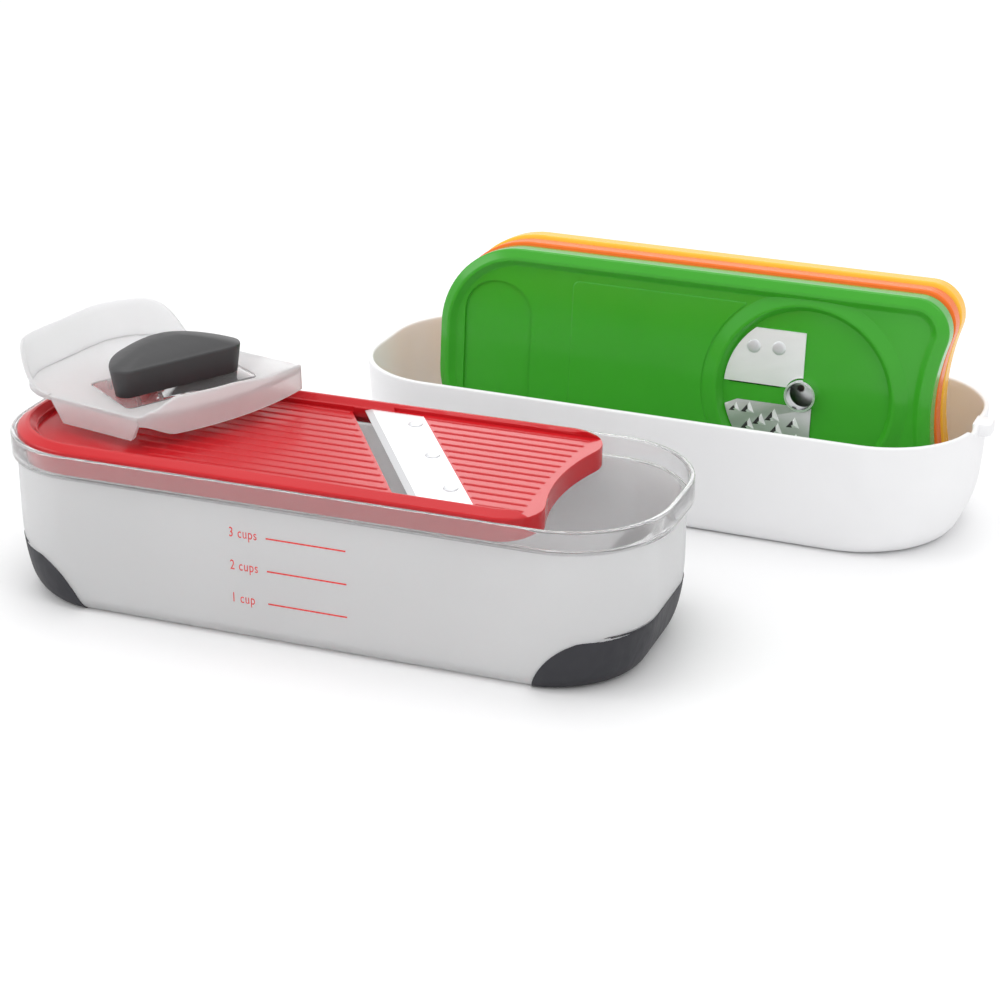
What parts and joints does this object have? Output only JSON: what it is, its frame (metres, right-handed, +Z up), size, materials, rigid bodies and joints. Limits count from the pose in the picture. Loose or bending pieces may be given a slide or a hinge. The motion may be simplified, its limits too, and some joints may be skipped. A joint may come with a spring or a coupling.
{
  "type": "mandoline slicer",
  "caption": "Mandoline slicing insert and food holder on a frosted catch container with soft end feet, beside an upturned storage lid that holds curly and grating inserts on edge.",
  "frame": {"origin": "centre of the container's base, on the table", "axes": "+X along the container towards the slicing insert's wavy end, +Y towards the storage lid, +Z up"},
  "size_m": [0.3328, 0.2411, 0.0918],
  "materials": {
    "container_frosted": "frosted translucent, glossy rim",
    "foot_rubber": "charcoal, matte",
    "red_plastic": "glossy, slightly translucent",
    "blade_steel": "polished, fine grind lines",
    "rivet_steel": "satin",
    "holder_frosted": "frosted translucent",
    "knob_rubber": "soft touch, matte",
    "lid_white": "fine matte texture",
    "green_plastic": "glossy",
    "tube_chrome": "bright",
    "orange_plastic": "glossy",
    "yellow_plastic": "glossy"
  },
  "bodies": {
    "container": {"container": "container_frosted", "foot_left": "foot_rubber", "foot_right": "foot_rubber"},
    "slicing_insert": {"slicing_plate": "red_plastic", "slicing_blade": "blade_steel", "slicing_blade_rivets": "rivet_steel"},
    "holder": {"holder_body": "holder_frosted", "holder_knob": "knob_rubber", "holder_prongs": "rivet_steel"},
    "lid": {"lid": "lid_white"},
    "curly_insert": {"curly_plate": "green_plastic", "curly_blade": "blade_steel", "curly_tooth_plate": "blade_steel", "curly_center_tube": "tube_chrome", "curly_blade_rivets": "rivet_steel"},
    "coarse_insert": {"coarse_plate": "orange_plastic", "coarse_sheet": "blade_steel", "coarse_rivets": "rivet_steel"},
    "fine_insert": {"fine_plate": "yellow_plastic", "fine_sheet": "blade_steel", "fine_rivets": "rivet_steel"}
  },
  "joints": [
    {"name": "slicing_insert_lift", "type": "slide", "parent": "container", "child": "slicing_insert", "axis": [0, 0, 1], "range_m": [0, 0.05]},
    {"name": "holder_slide", "type": "slide", "parent": "slicing_insert", "child": "holder", "axis": [1, 0, 0], "range_m": [0, 0.105]},
    {"name": "lid_lift", "type": "slide", "parent": "container", "child": "lid", "axis": [0, 0, 1], "range_m": [0, 0.06]},
    {"name": "curly_insert_lift", "type": "slide", "parent": "lid", "child": "curly_insert", "axis": [0.0028, 0.0993, 0.9951], "range_m": [0, 0.09]},
    {"name": "coarse_insert_lift", "type": "slide", "parent": "lid", "child": "coarse_insert", "axis": [0.0028, 0.0993, 0.9951], "range_m": [0, 0.09]},
    {"name": "fine_insert_lift", "type": "slide", "parent": "lid", "child": "fine_insert", "axis": [0.0028, 0.0993, 0.9951], "range_m": [0, 0.09]}
  ]
}
